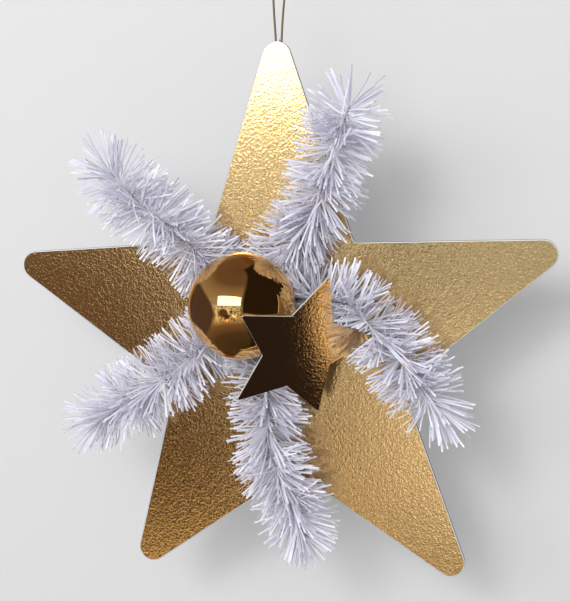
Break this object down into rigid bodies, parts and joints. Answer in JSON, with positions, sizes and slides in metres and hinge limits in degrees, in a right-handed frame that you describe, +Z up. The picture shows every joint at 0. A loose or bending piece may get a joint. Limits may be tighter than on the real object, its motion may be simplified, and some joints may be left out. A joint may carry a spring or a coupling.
{
  "type": "hanging foil star decoration with tinsel spray and ball",
  "caption": "Flat gold foil-card star hung from a thin cord loop, with a gold ball, a small foil star and a spray of white tinsel branches glued to its front.",
  "frame": {"origin": "inside top of the hanging cord loop, where the hook bears", "axes": "+Z up, the big star's flat faces in the XZ plane and its decorated front facing -Y, +X to the viewer's right"},
  "size_m": [0.3178, 0.0734, 0.3514],
  "materials": {
    "star_card": "embossed mirror-gold foil laminated on card",
    "small_star_card": "fine-grained mirror-gold foil laminated on card",
    "ball_gold": "smooth mirror-gold metallised",
    "tinsel_film": "pearly white film, slightly translucent",
    "tinsel_wire": "bright drawn wire",
    "set_glue": "cloudy set hot-melt glue",
    "gold_cord": "twisted thread with a metallic yarn"
  },
  "bodies": {
    "root": {"big_star": "star_card", "centre_glue": "set_glue", "cord_glue": "set_glue", "gold_ball": "ball_gold", "hanging_cord": "gold_cord", "small_star": "small_star_card", "small_star_glue": "set_glue", "tinsel_bottom": "tinsel_film", "tinsel_lower_left": "tinsel_film", "tinsel_right": "tinsel_film", "tinsel_upper_left": "tinsel_film", "tinsel_upper_right": "tinsel_film", "wire_bottom": "tinsel_wire", "wire_lower_left": "tinsel_wire", "wire_right": "tinsel_wire", "wire_upper_left": "tinsel_wire", "wire_upper_right": "tinsel_wire"}
  },
  "joints": []
}
